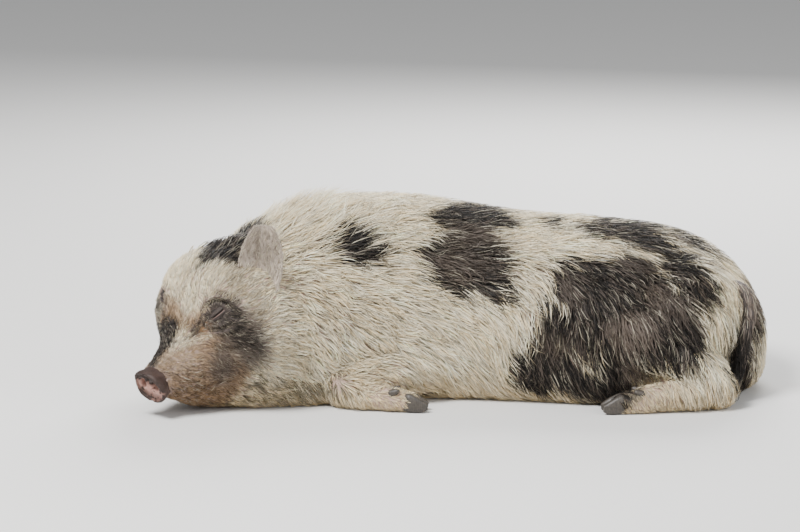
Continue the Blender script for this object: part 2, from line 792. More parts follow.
class Finish:
    """A material being made."""

    def __init__(self, name):
        self.material = bpy.data.materials.new(name)
        self.material.use_nodes = True
        self.tree = self.material.node_tree
        self.surface = self.tree.nodes["Principled BSDF"]

    def feed(self, socket, value):
        """Links a value to a socket, or sets it there."""
        if isinstance(value, Value):
            self.tree.links.new(value.socket, socket)
        else:
            socket.default_value = value

    def node(self, kind, settings, inputs, output=0):
        """A node of this type with its settings, and the values or links of its sockets."""
        made = self.tree.nodes.new(kind)
        for key, value in settings.items():
            if key == "stops":
                for element, (place, colour) in zip(made.color_ramp.elements, value):
                    element.position, element.color = place, colour
            else:
                setattr(made, key, value)
        for key, value in inputs.items():
            self.feed(made.inputs[key], value)
        return Value(self, made.outputs[output])

    def ranged(self, value, low, high):
        """A value from 0 to 1 brought between these two."""
        return self.node("ShaderNodeMapRange", {}, {"Value": value, "To Min": low, "To Max": high})

    def painted(self, pattern, low, high):
        """The colour that each vertex carries, made darker and lighter by a pattern."""
        paint = self.node("ShaderNodeAttribute", {"attribute_name": "paint"}, {})
        tone = self.ranged(pattern, low, high)
        grey = self.node("ShaderNodeCombineColor", {}, {"Red": tone, "Green": tone, "Blue": tone})
        settings = {"data_type": "RGBA", "blend_type": "MULTIPLY", "clamp_factor": True}
        return self.node("ShaderNodeMix", settings, {0: 1.0, 6: paint, 7: grey}, 2)

    def places(self):
        """Places on the piece, in metres."""
        return self.node("ShaderNodeTexCoord", {}, {}, "Object")

    def noise(self, size, detail=3.0, roughness=0.55, stretch=None):
        """A cloudy pattern whose patches are about this size."""
        where = self.places()
        if stretch:
            where = self.node("ShaderNodeMapping", {}, {"Vector": where, "Scale": stretch})
        inputs = {"Vector": where, "Scale": 1 / size, "Detail": detail, "Roughness": roughness}
        return self.node("ShaderNodeTexNoise", {}, inputs)

    def bump(self, height, distance, strength):
        """A normal raised by the height."""
        inputs = {"Height": height, "Distance": distance, "Strength": strength}
        return self.node("ShaderNodeBump", {}, inputs)

    def set(self, **values):
        """Sets or links the surface's own sockets."""
        for key, value in values.items():
            self.feed(self.surface.inputs[key.replace("_", " ")], value)
        return self.material


def coat_finish():
    """Bristles: the painted colour, a little streaked, with a dull gloss."""
    finish = Finish("bristles")
    colour = finish.painted(finish.noise(0.004, 2.0), 0.82, 1.16)
    return finish.set(Base_Color=colour, Roughness=0.50, Specular_IOR_Level=0.22, Metallic=0.0)


def skin_finish(name, gloss=0.62, grain=0.0016):
    """Living skin: the painted colour with mottling, fine creases and grain."""
    finish = Finish(name)
    mottle = finish.noise(0.010, 4.0)
    colour = finish.painted(mottle, 0.72, 1.28)
    cells = {"Vector": finish.places(), "Scale": 1 / grain}
    creases = finish.node("ShaderNodeTexVoronoi", {"feature": "DISTANCE_TO_EDGE"}, cells)
    folds = finish.noise(0.005, 3.0, 0.6, (1.0, 1.0, 2.6))
    normal = finish.bump(creases * 0.35 + folds, 0.0012, 0.7)
    dull = finish.ranged(mottle, gloss - 0.1, gloss + 0.12)
    return finish.set(Base_Color=colour, Roughness=dull, Normal=normal, Specular_IOR_Level=0.22, Metallic=0.0)


def horn_finish():
    """Claw horn: dark, scuffed paler towards the ground, with growth rings."""
    finish = Finish("claw_horn")
    rings = finish.node(
        "ShaderNodeTexWave",
        {"wave_type": "BANDS", "bands_direction": "X"},
        {"Vector": finish.places(), "Scale": 120.0, "Distortion": 3.0, "Detail": 2.0},
    )
    scuffs = finish.noise(0.003, 5.0)
    share = scuffs * 0.85 + rings * 0.12
    dark, pale = (0.020, 0.017, 0.015, 1), (0.105, 0.088, 0.070, 1)
    stops = ((0.25, dark), (0.85, pale))
    colour = finish.node("ShaderNodeValToRGB", {"stops": stops}, {"Fac": share})
    normal = finish.bump(rings * 0.4 + scuffs * 0.6, 0.0003, 0.6)
    return finish.set(Base_Color=colour, Roughness=0.48, Normal=normal, Metallic=0.0)


def paint_vertices(mesh, colours):
    """Stores a colour at each vertex, for the materials to read."""
    layer = mesh.color_attributes.new("paint", "FLOAT_COLOR", "POINT")
    values = np.column_stack([np.clip(colours, 0, 1), np.ones(len(colours))])
    layer.data.foreach_set("color", values.astype(np.float32).ravel())


# Settings


def a_tone(name, description, default):
    """A colour that the user can change."""
    return FloatVectorProperty(name=name, description=description, default=default, subtype="COLOR")


def a_length(name, description, default):
    """A length that the user can change."""
    return FloatProperty(name=name, description=description, default=default, unit="LENGTH")


def a_number(name, description, default):
    """A number of strands that the user can change."""
    return IntProperty(name=name, description=description, default=default, min=10)


class MinipigSkin(bpy.types.PropertyGroup):
    """Sizes and tones of the skin."""

    depth: a_length("Coat depth", "How far the skin lies under the solids", 0.007)
    face_depth: a_length("Face coat depth", "The same on the head", 0.003)
    grain: a_length("Mesh size", "Width of the skin's quads", 0.004)
    pale: a_tone("Pale skin", "Skin under cream hair", (0.46, 0.33, 0.27))
    dark: a_tone("Dark skin", "Skin under black hair", (0.055, 0.046, 0.042))
    snout_pink: a_tone("Snout", "Pink of the snout", (0.56, 0.31, 0.25))
    snout_brown: a_tone("Dark snout", "Dark mottling of the snout", (0.026, 0.0175, 0.0145))
    ear: a_tone("Ears", "Skin of the ears", (0.50, 0.42, 0.35))
    lid: a_tone("Lids", "Bare skin round the eye", (0.040, 0.031, 0.027))
    lid_edge: a_tone("Lid edge", "Pink edge of the lower lid", (0.36, 0.21, 0.18))
    tear: a_tone("Tear stain", "Rusty stain below the eye", (0.20, 0.108, 0.045))


class MinipigCoat(bpy.types.PropertyGroup):
    """Sizes and tones of the coat."""

    body_strands: a_number("Body bristles", "Strands on neck, trunk and legs", 64000)
    face_strands: a_number("Face hairs", "Strands on the head", 30000)
    ear_strands: a_number("Ear hairs", "Strands on each ear", 3200)
    tail_strands: a_number("Tail bristles", "Strands on the tail", 1600)
    mane_strands: a_number("Mane bristles", "Loose strands on the back", 1100)
    whiskers: a_number("Whiskers", "Whiskers and lashes", 130)
    body_length: a_length("Body length", "Length of the bristles", 0.046)
    stand: a_length("Stand", "Height of the bristles' tips over the skin", 0.012)
    thickness: a_length("Thickness", "Width of a strand at its root", 0.0013)
    cream: a_tone("Cream", "Pale hair", (0.83, 0.75, 0.58))
    black: a_tone("Black", "Black hair", (0.019, 0.0165, 0.0145))
    brown: a_tone("Grizzled", "Brown-grey hair", (0.17, 0.135, 0.11))
    rust: a_tone("Rust", "Rusty hair of the muzzle", (0.325, 0.202, 0.116))
    stain: a_tone("Stain", "Hair stained by tears", (0.38, 0.215, 0.085))


class MinipigStage(bpy.types.PropertyGroup):
    """Light and floor."""

    floor: a_tone("Floor", "Colour of the floor", (0.72, 0.71, 0.69))
    key: FloatProperty(name="Key light", description="Power of the main light", default=192.0, unit="POWER")
    fill: FloatProperty(name="Fill light", description="Power of the fill light", default=34.0, unit="POWER")
    sky: FloatProperty(name="Surroundings", description="Strength of the pale world", default=0.45)


# Operators


def skin_tones(colours, settings):
    """Skin colours under coat colours: pale under cream, dark under black."""
    light = np.clip((colours.mean(axis=1) - 0.03) / 0.45, 0, 1)
    return blend(np.array(settings.dark), light, settings.pale)


def near_line(across, down, line):
    """How far each place in the picture is from a line of points, and how far along it, from 0 to 1."""
    least, share = np.full(len(across), 1e9), np.zeros(len(across))
    for number, ((x0, y0), (x1, y1)) in enumerate(zip(line, line[1:])):
        length = (x1 - x0) ** 2 + (y1 - y0) ** 2
        t = np.clip(((across - x0) * (x1 - x0) + (down - y0) * (y1 - y0)) / length, 0, 1)
        apart = np.hypot(across - x0 - t * (x1 - x0), down - y0 - t * (y1 - y0))
        share = np.where(apart < least, (number + t) / (len(line) - 1), share)
        least = np.minimum(least, apart)
    return least, share


# Rings along trunk and head and points round each, and rounds of smoothing over their joins
SKIN_RINGS = (60, 64)
SKIN_SMOOTHING = 6


class MINIPIG_OT_skin(bpy.types.Operator):
    """One skin over head, neck, trunk and legs"""

    bl_idname = "minipig.skin"
    bl_label = "Skin"

    def shapes(self, skin):
        """The closed bodies that the skin is drawn over."""
        parts = [loft(trunk_rings(skin.depth, *SKIN_RINGS)), loft(head_rings(skin.face_depth, *SKIN_RINGS))]
        for name, joints in JOINTS.items():
            centre, radii = MUSCLES[name]
            radii = [radius - skin.depth * 0.7 for radius in radii]
            parts.append(loft(ball_rings(Vector(centre) + PLACE, radii)))
            for (start, first), (end, last) in zip(joints, joints[1:]):
                thin = [radius - min(0.0025, skin.depth * radius * 12) for radius in (first, last)]
                parts.append(loft(bar_rings(start, end, *thin)))
        return parts

    def fold(self, places):
        """How far each place of the skin is moved out by brows, eye hollows, mouth and wrinkles."""
        away = np.zeros(len(places))
        near = near_side(places)
        for spot, size, amount in FACE_FORMS:
            away += amount * bell(np.linalg.norm(near - np.array(on_head(*spot)), axis=1), size)
        back, out, up = head_places(places)
        on_muzzle = smooth(0.012, 0.03, back) * (1 - smooth(0.05, 0.09, back)) * smooth(-0.01, 0.02, up)
        away += on_muzzle * 0.0009 * np.sin(back * 2 * math.pi / 0.0085 + 1.6 * rough(places, 0.02, 5))
        side = along_body(places)[2]
        here = in_picture(places)
        flank = (1 - on_face(places)) * smooth(0.02, 0.06, side)
        for line, half, depth in BODY_CREASES:
            apart, share = near_line(*here, line)
            ends = np.sin(math.pi * np.clip(share, 0.1, 0.9)) ** 0.7
            away -= 0.001 * depth * bell(apart, half) * ends * flank
        for x, y, half, height in BODY_SWELLINGS:
            away += 0.001 * height * bell(np.hypot(here[0] - x, here[1] - y), half) * flank
        front = on_face(places) * smooth(0.0, 0.03, np.abs(out))
        for line, half, depth in CREASES:
            apart, share = near_line(*in_picture(near), line)
            ends = np.sin(math.pi * np.clip(share, 0.12, 0.88)) ** 0.7
            cut = bell(apart, half) - 0.45 * bell(apart - 2.2 * half, 1.3 * half)
            away -= 0.001 * depth * cut * ends * front
        lips = np.degrees(np.arctan2(up, np.abs(out)))
        gape = np.clip((back - 0.016) / 0.074, 0, 1) ** 0.8
        line = -88 + 64 * (1 - (1 - gape) ** 2)
        apart = (lips - line) * math.pi / 180 * np.hypot(up, out)
        inside = smooth(0.012, 0.018, back) * (1 - smooth(0.085, 0.098, back))
        away -= MOUTH_DEPTH * bell(apart, MOUTH_HALF_WIDTH) * inside
        away += 0.0018 * bell(np.abs(apart) - 0.006, 0.004) * inside
        for number, (start, end, size, amount) in enumerate(FOLDS):
            start, end = np.array(start) + np.array(PLACE), np.array(end) + np.array(PLACE)
            along = end - start
            share = np.clip((places - start) @ along / (along @ along), 0, 1)
            apart = np.linalg.norm(places - (start + share[:, None] * along), axis=1)
            apart = apart + 0.004 * rough(places, 0.03, 20 + number)
            away -= amount * bell(apart, size) * np.sin(math.pi * np.clip(share, 0.08, 0.92))
        return away + 0.0012 * rough(places, 0.05, 6) + 0.0006 * rough(places, 0.02, 7)

    def finer(self, mesh):
        """Splits the mesh where the eyes, the muzzle and the lips need it."""
        for around_eyes, around_snout in ((0.045, 0.100), (0.034, 0.0)):
            shape = bmesh.new()
            shape.from_mesh(mesh)
            fine = [
                edge
                for edge in shape.edges
                if min((edge.verts[0].co - eye).length for eye in EYES) < around_eyes
                or (edge.verts[0].co - SNOUT_AT).length < around_snout
            ]
            bmesh.ops.subdivide_edges(shape, edges=fine, cuts=1, use_grid_fill=True)
            shape.to_mesh(mesh)
            shape.free()

    def execute(self, context):
        skin, coat = context.scene.minipig_skin, context.scene.minipig_coat
        made = body_from("skin", self.shapes(skin))
        cover = made.modifiers.new("cover", "REMESH")
        cover.mode = "VOXEL"
        cover.voxel_size = skin.grain
        soft = made.modifiers.new("soft", "SMOOTH")
        soft.iterations = SKIN_SMOOTHING
        apply_modifiers(made)
        self.finer(made.data)
        places, normals = places_of(made.data)
        places = places + normals * self.fold(places)[:, None]
        places[:, 2] = np.maximum(places[:, 2], SKIN_CLEARANCE)
        put_places(made.data, places)
        colours = skin_tones(coat_colours(places, coat), skin)
        across, down = in_picture(near_side(places))
        face, out = on_face(places), head_places(places)[1]
        bare = inside_marks(BARE_MARKS, across, down, 0.4 * rough(places, 0.01, 8), 8.0) * face
        colours = blend(colours, 0.85 * bare * (1 - 0.6 * (out < 0)), skin.lid)
        tear = inside_marks(TEAR_MARKS, across, down, 0.5 * rough(places, 0.006, 9), 7.0) * face
        colours = blend(colours, 0.8 * tear * (out > 0), skin.tear)
        for line, half, _ in CREASES:
            apart, _ = near_line(across, down, line)
            colours *= 1 - (0.55 * bell(apart, 1.2 * half) * face)[:, None]
        paint_vertices(made.data, colours)
        finish_piece(made, skin_finish("hide"), "coat", "head", "neck", "torso", *LEGS)
        return {"FINISHED"}


class MINIPIG_OT_snout(bpy.types.Operator):
    """The bare disc of the snout with its rim and nostrils"""

    bl_idname = "minipig.snout"
    bl_label = "Snout"

    def execute(self, context):
        skin = context.scene.minipig_skin
        sides = 128
        profile = [(0.022, 0.86), (0.018, 0.87), (0.0145, 0.89), (0.0115, 0.92), (0.009, 0.965)]
        profile += [(0.0065, 1.00), (0.0035, 1.025), (0.0005, 1.03), (-0.0012, 1.01), (-0.0018, 0.975)]
        profile += [(-0.0022, 0.93), (-0.0010, 0.89)]
        profile += [(0.0002 + 0.0010 * math.sin(3 * s), s) for s in np.linspace(0.86, 0.02, 36)]
        rings = []
        for back, share in profile:
            sizes = (SNOUT_HALF_WIDTH * share, SNOUT_UP * share, SNOUT_DOWN * share)
            across, height = section(*sizes, 2.5, 2.2, 0.08, sides)
            lips = 0.0016 * math.exp(-(((share - 0.97) / 0.1) ** 2))
            rings.append(all_on_head(back - lips * smooth(0.006, 0.016, np.abs(height)), across, height))
        made = body_from("snout_disc", [loft(rings)])
        places, _ = places_of(made.data)
        back, left, up = head_places(places)
        front = 1 - smooth(0.002, 0.006, back)
        hole = np.hypot(
            (np.abs(left) - NOSTRIL_OUT) / NOSTRIL_HALF_WIDTH,
            (up - NOSTRIL_UP + 0.2 * np.abs(left)) / NOSTRIL_HALF_HEIGHT,
        )
        deep = (1 - smooth(0.45, 1.10, hole)) * front
        lifted = bell(hole - 1.4, 0.32) * front * 0.0016
        dish = 0.0012 * (1 - smooth(0.0, 0.018, np.hypot(left, up))) * front
        creases = front * 0.0005 * rough(places, 0.003, 31) - front * 0.0014 * bell(left, 0.0016)
        rings_behind = 0.0006 * np.sin(back * 2 * math.pi / 0.0042) * smooth(0.008, 0.012, back)
        places = places + np.outer(NOSTRIL_DEPTH * deep - lifted - creases - dish, AXES[0])
        places = places + unit(np.outer(left, AXES[1]) + np.outer(up, AXES[2])) * rings_behind[:, None]
        put_places(made.data, places)
        mottle = 0.6 * rough(places, 0.007, 32) + 0.5 * rough(places, 0.0028, 33)
        crown = smooth(0.004, 0.010, up + 0.2 * left + 0.004 * rough(places, 0.006, 34))
        rim = smooth(0.021, 0.0255, np.hypot(left, up * 1.05)) * 0.5
        side = smooth(0.002, 0.010, back)
        low = smooth(-0.005, -0.017, up) * 0.6
        far = smooth(-0.004, -0.014, left) * 0.30
        dark = np.clip(smooth(0.05, 0.45, mottle) * 0.85 + crown + rim + 0.55 * side + low + far, 0, 0.97)
        pit = smooth(0.3, 0.9, deep)
        brown = (1 + 0.5 * rough(places, 0.004, 35)) * (1 + 1.1 * side * (1 - crown))
        brown = np.array(skin.snout_brown) * brown[:, None]
        colour = blend(np.array(skin.snout_pink), np.maximum(dark, pit), brown)
        paint_vertices(made.data, colour * (1 - 0.8 * pit[:, None]))
        finish_piece(made, skin_finish("snout_skin", 0.42, 0.0011), "bare_skin", "snout")
        return {"FINISHED"}


def ear_way(side, parts):
    """The unit way with these parts back along the head, out on this side and up."""
    back, left, up = parts
    return (ALONG * back + OUT * left * side + HIGH * up).normalized()


class MINIPIG_OT_ears(bpy.types.Operator):
    """The two cupped ears"""

    bl_idname = "minipig.ears"
    bl_label = "Ears"

    def leaf(self, side):
        """Points and faces of one ear: two faces of a cupped leaf, closed round its edge."""
        rows, columns = 40, 30
        place, tip, facing = EARS[side]
        tip, facing = ear_way(side, tip), ear_way(side, facing)
        facing = (facing - tip * facing.dot(tip)).normalized()
        across = tip.cross(facing)
        root = on_head(place[0], place[1] * side, place[2])
        points = []
        for layer in (1, -1):
            for row in range(rows):
                share = row / (rows - 1)
                wide = EAR_WIDTH / 2 * math.sin(math.pi * (0.20 + 0.72 * share)) ** 0.7
                cup = 0.62 * (1 - share) ** 1.4 + 0.14
                lean = EAR_LEAN * math.sin(math.pi * share)
                for column in range(columns):
                    turn = 2 * column / (columns - 1) - 1
                    edge = min(1 - abs(turn), (1 - share) * 1.4)
                    thick = EAR_HALF_THICKNESS * min(1, edge * 7) ** 0.5
                    rim = EAR_RIM * math.exp(-(((1 - abs(turn)) / 0.10) ** 2))
                    vein = EAR_VEINS * math.sin(turn * 15 + 3 * share) * (0.3 + share) * (1 - turn**2)
                    low = 1 - float(smooth(0.22, 0.60, share))
                    roll = EAR_ROLL * math.exp(-(((turn * side + 0.50) / 0.24) ** 2)) * low
                    wave = EAR_WAVE * math.sin(4.2 * share + 1.5 * turn)
                    points.append(
                        root
                        + tip * (EAR_LENGTH * share - EAR_ROOT_DEPTH)
                        + across * wide * math.sin(turn * 1.25) / math.sin(1.25)
                        - facing * (wide * cup * (1 - turn**2) + lean - rim - vein - roll - wave)
                        + facing * thick * layer
                    )
        faces = []
        for layer in (0, 1):
            base = layer * rows * columns
            for row in range(rows - 1):
                for column in range(columns - 1):
                    low = base + row * columns + column
                    faces.append((low, low + 1, low + columns + 1, low + columns))
        rim = [(0, c) for c in range(columns)] + [(r, columns - 1) for r in range(1, rows)]
        rim += [(rows - 1, c) for c in range(columns - 2, -1, -1)] + [(r, 0) for r in range(rows - 2, 0, -1)]
        loop = [r * columns + c for r, c in rim]
        under = rows * columns
        for first, second in zip(loop, loop[1:] + loop[:1]):
            faces.append((first, second, second + under, first + under))
        return [tuple(p) for p in points], faces

    def execute(self, context):
        skin = context.scene.minipig_skin
        for word, side in SIDES.items():
            made = body_from(f"ear_leaf_{word}", [self.leaf(side)])
            places, _ = places_of(made.data)
            share = smooth(-0.6, 0.8, rough(places, 0.02, 41) + 0.5 * rough(places, 0.007, 42))[:, None]
            paint_vertices(made.data, np.array(skin.ear) * (0.72 + 0.45 * share))
            finish_piece(made, skin_finish(f"ear_skin_{word}", 0.6, 0.0013), "coat", f"ear_{word}")
        return {"FINISHED"}


# Ways round the eye along which the skin's slope is taken
EYE_ROUND = ((1, 0, 0), (-1, 0, 0), (0, 1, 0), (0, -1, 0), (0, 0, 1), (0, 0, -1))


def eye_place(tree, side):
    """Where the closed eye is on the skin, with the normal there."""
    back, left, up = EYE_WAYS[side]
    way = (OUT * left + HIGH * up).normalized()
    point, normal, _, _ = tree.ray_cast(on_head(back, 0, 0) + way * 0.3, -way)
    around = [tree.find_nearest(point + way.cross(Vector(turn)) * 0.014)[1] for turn in EYE_ROUND]
    return point, sum(around, normal).normalized()


def eye_axes(normal):
    """The way of the slit between the lids and the way across it."""
    slit = ALONG - HIGH * 0.38
    slit = (slit - normal * slit.dot(normal)).normalized()
    return slit, normal.cross(slit)


class MINIPIG_OT_eyelids(bpy.types.Operator):
    """The closed lids with their slit and wrinkles"""

    bl_idname = "minipig.eyelids"
    bl_label = "Eyelids"

    def execute(self, context):
        skin = context.scene.minipig_skin
        tree = search_tree(bpy.data.objects["skin"].data)
        for word, side in SIDES.items():
            point, normal = eye_place(tree, side)
            slit, across = eye_axes(normal)
            rings = []
            half, tall = LIDS_LENGTH / 2, LIDS_HEIGHT / 2
            for share in np.linspace(0.02, 1.0, 40):
                turns = np.arange(112) * 2 * math.pi / 112
                a, b = half * share * np.cos(turns), tall * share * np.sin(turns)
                middle = np.clip(1 - (a / (half * 0.80)) ** 2, 0, 1)
                b_slit = b + SLIT_SAG * middle - SLIT_UP
                dome = LIDS_DOME * (1 - share**2) ** 1.4 - LIDS_SINK
                upper_lid = UPPER_LID * bell(b_slit - 0.0034, 0.0026) * middle**1.2
                lower_lid = LOWER_LID * bell(b_slit + 0.0030, 0.0022) * middle**1.2
                gap = SLIT_DEPTH * bell(b_slit, 0.0008) * middle**0.4
                fold = bell(b_slit - 0.0078 - 0.0012 * np.sin(a * 190), 0.0009) * middle**0.3
                under_fold = bell(b_slit + 0.0068, 0.0010) * middle**0.3
                away_from_slit = smooth(0.001, 0.004, np.abs(b_slit))
                fine = 0.00028 * np.sin(b * 2 * math.pi / 0.0016 + 1.5 * np.sin(a * 300)) * away_from_slit
                fan = 0.00035 * np.sin(np.arctan2(b_slit, a + 0.022) * 38) * away_from_slit
                height = dome + upper_lid + lower_lid - gap - 0.0018 * fold - 0.0013 * under_fold + fine + fan
                rings.append(
                    np.array(point)
                    + np.outer(a, np.array(slit))
                    + np.outer(b, np.array(across))
                    + np.outer(height, np.array(normal))
                )
            under = rings[-1] - np.array(normal) * 0.006
            made = body_from(f"lids_{word}", [loft([*rings, under])])
            places, _ = places_of(made.data)
            away = places - np.array(point)
            a, b = away @ np.array(slit), away @ np.array(across)
            middle = np.clip(1 - (a / (LIDS_LENGTH * 0.40)) ** 2, 0, 1)
            b = b + SLIT_SAG * middle - SLIT_UP
            dark = bell(b, 0.0011) * middle**0.3
            dark = np.maximum(dark, 0.8 * bell(b - 0.0079, 0.0014) * middle**0.3)
            dark = np.maximum(dark, 0.5 * bell(b + 0.0068, 0.0012) * middle**0.3)[:, None]
            lit = 1 + 0.35 * bell(b - 0.0036, 0.0022) * middle
            tone = np.array(skin.lid) * ((1 + 0.3 * rough(places, 0.004, 44)) * lit)[:, None]
            tone = blend(tone, 0.45 * bell(b + 0.0016, 0.0007) * middle, skin.lid_edge)
            paint_vertices(made.data, tone * (1 - 0.85 * dark) + np.array(skin.dark) * 0.4 * dark)
            finish_piece(made, skin_finish(f"lid_skin_{word}", 0.5, 0.0009), "bare_skin", f"eyelids_{word}")
        return {"FINISHED"}


def claw_shape(base, along, out):
    """Points and faces of one hoof claw: flat below, rounded over and blunt at its tip."""
    up = out.cross(along) if out.cross(along).z > 0 else along.cross(out)
    rings = []
    for share in np.concatenate([[-0.25], np.linspace(0, 1, 22) ** 0.8]):
        size = math.sqrt(max(1 - max(share, 0) ** 2.4, 0.004)) * (1 + 0.06 * math.sin(3 * share))
        top = CLAW_HEIGHT * (1.12 - 0.70 * max(share, 0)) * (0.25 + 0.75 * size)
        sole = CLAW_HEIGHT * 0.96 * (0.42 + 0.58 * size)
        growth = 1 + 0.012 * math.sin(max(share, 0) * 44)
        half = CLAW_HALF_WIDTH * size * growth
        across, height = section(half, top * growth, sole, 2.3, 4, -0.05, 40)
        middle = base + along * CLAW_LENGTH * float(share)
        rings.append(np.array([middle + out * float(a) + up * float(h) for a, h in zip(across, height)]))
    return loft(rings)


class MINIPIG_OT_claws(bpy.types.Operator):
    """The horny claws and dewclaws of the four feet"""

    bl_idname = "minipig.claws"
    bl_label = "Claws"

    def execute(self, context):
        horn = horn_finish()
        for name, joints in JOINTS.items():
            (fetlock, _), (toe, _) = joints[-2:]
            along = (toe - fetlock).normalized()
            out = along.cross(Vector((0, 0, 1))).normalized()
            short = name.replace("leg", "")
            for word, side in (("outer", 1), ("inner", -1)):
                base = toe + out * side * CLAW_SPREAD
                turned = (along + out * side * CLAW_TURN_OUT).normalized()
                piece = claw_shape(base, turned, out)
                made = body_from(f"horn_{short}_{word}", [piece])
                lift(made.data, CLAW_CLEARANCE)
                finish_piece(made, horn, "horn", f"{short}_claw_{word}")
                start = fetlock + out * side * 0.008 + Vector((0, 0, 0.010))
                end = start + along * 0.013 + out * side * 0.004 + Vector((0, 0, 0.007))
                path = [start.lerp(end, k / 9) for k in range(10)]
                radii = [DEWCLAW_RADIUS * math.sqrt(1 - 0.88 * (k / 9) ** 2.2) for k in range(10)]
                made = body_from(f"spur_{short}_{word}", [loft(round_rings(path, radii, 24))])
                finish_piece(made, horn, "horn", f"{short}_dewclaw_{word}")
        return {"FINISHED"}


# Strands: shares of the length, with the height over the skin and the width there as shares of their whole
BRISTLE = {"shares": (0.0, 0.36, 0.72, 1.0), "rises": (-0.12, 0.50, 0.90, 1.0), "widths": (0.85, 1.0, 0.66)}
HAIR = {"shares": (0.0, 0.55, 1.0), "rises": (-0.15, 0.66, 1.0), "widths": (1.0, 0.75)}
WISP = {"shares": (0.0, 0.30, 0.65, 1.0), "rises": (-0.05, 0.30, 0.68, 1.0), "widths": (0.9, 1.0, 0.6)}

# A kind of coat: its strands' form, tufts for each strand, how far the ways stray, how much strands sag and
# curl, how far each tuft draws together, and how light the strands are from root to tip
Kind = namedtuple("Kind", "form tufts stray sag curl pull shading")
BODY_HAIR = Kind(BRISTLE, 0.08, 0.11, 0.16, 0.38, (0.05, 0.38), (0.62, 0.90, 1.04, 1.06))
FACE_HAIR = Kind(HAIR, 0.12, 0.12, 0.04, 0.30, (0.05, 0.40), (0.72, 0.98, 1.05))
EAR_HAIR = Kind(HAIR, 0.2, 0.10, 0.0, 0.15, (0.0, 0.2), (0.8, 1.0, 1.05))
TAIL_HAIR = Kind(BRISTLE, 0.1, 0.12, 0.2, 0.30, (0.1, 0.5), (0.75, 1.0, 1.05, 1.1))
MANE_HAIR = Kind(WISP, 0.12, 0.15, -0.05, 0.45, (0.2, 0.6), (0.8, 0.95, 1.03, 1.06))
WHISKER_HAIR = Kind(WISP, 0.5, 0.3, 0.05, 0.2, (0.0, 0.1), (0.9, 1.0, 1.0, 1.0))
PATCH_SIZE = 0.003
MOST_TRIANGLES = 190000


def sample_surface(mesh, count, draw, density):
    """Random places on a mesh with their normals, as dense as density says at each."""
    places, normals = places_of(mesh)
    mesh.calc_loop_triangles()
    corners = np.empty(len(mesh.loop_triangles) * 3, np.int32)
    mesh.loop_triangles.foreach_get("vertices", corners)
    corners = corners.reshape(-1, 3)
    a, b, c = (places[corners[:, k]] for k in range(3))
    area = np.linalg.norm(np.cross(b - a, c - a), axis=1) / 2
    middle = (a + b + c) / 3
    weight = area * density(middle, unit(normals[corners].sum(axis=1)))
    chosen = draw.choice(len(corners), size=count, p=weight / weight.sum())
    first, second = draw.random(count), draw.random(count)
    over = first + second > 1
    first, second = np.where(over, 1 - first, first), np.where(over, 1 - second, second)
    shares = np.column_stack([1 - first - second, first, second])
    found = sum(shares[:, k : k + 1] * places[corners[chosen, k]] for k in range(3))
    way = sum(shares[:, k : k + 1] * normals[corners[chosen, k]] for k in range(3))
    return found, unit(way)


def gather(roots, draw, share):
    """For each root the number of the tuft that it belongs to, with about this many tufts for each root."""
    count = max(8, int(len(roots) * share))
    centres = roots[draw.choice(len(roots), size=count, replace=False)]
    tree = KDTree(count)
    for number, centre in enumerate(centres):
        tree.insert(centre, number)
    tree.balance()
    return np.array([tree.find(root)[1] for root in roots])


def trace(tree, roots, normals, ways, lengths, stands, kind, curl):
    """The middle lines of strands that follow the skin from their roots, and the normals at their tips."""
    lines, level, norms, now = [], roots.copy(), normals.copy(), ways.copy()
    walked = 0.0
    for share, rise in zip(kind.form["shares"], kind.form["rises"]):
        step = (share - walked) * lengths
        walked = share
        if share > 0:
            bent = curl * (1.6 * share - 0.7)
            now = unit(now + np.array([0, 0, -1.0]) * kind.sag * share + np.cross(norms, now) * bent[:, None])
            ahead = level + now * step[:, None]
            for number, point in enumerate(ahead):
                level[number], norms[number], _, _ = tree.find_nearest(point)
            now = unit(now - norms * dots(now, norms))
        point = level + norms * (stands * rise)[:, None]
        point[:, 2] = np.maximum(point[:, 2], HAIR_CLEARANCE)
        lines.append(point)
    return lines, norms


def drawn_together(lines, tufts, pull):
    """The lines with their ends drawn towards the middle of their tuft."""
    count = tufts.max() + 1
    size = np.bincount(tufts, minlength=count)[:, None]
    drawn = list(lines[:2])
    for number in range(2, len(lines)):
        total = np.column_stack([np.bincount(tufts, lines[number][:, k], count) for k in range(3)])
        middle = (total / np.maximum(size, 1))[tufts]
        share = pull * number / (len(lines) - 1)
        drawn.append(lines[number] + (middle - lines[number]) * share[:, None])
    return drawn


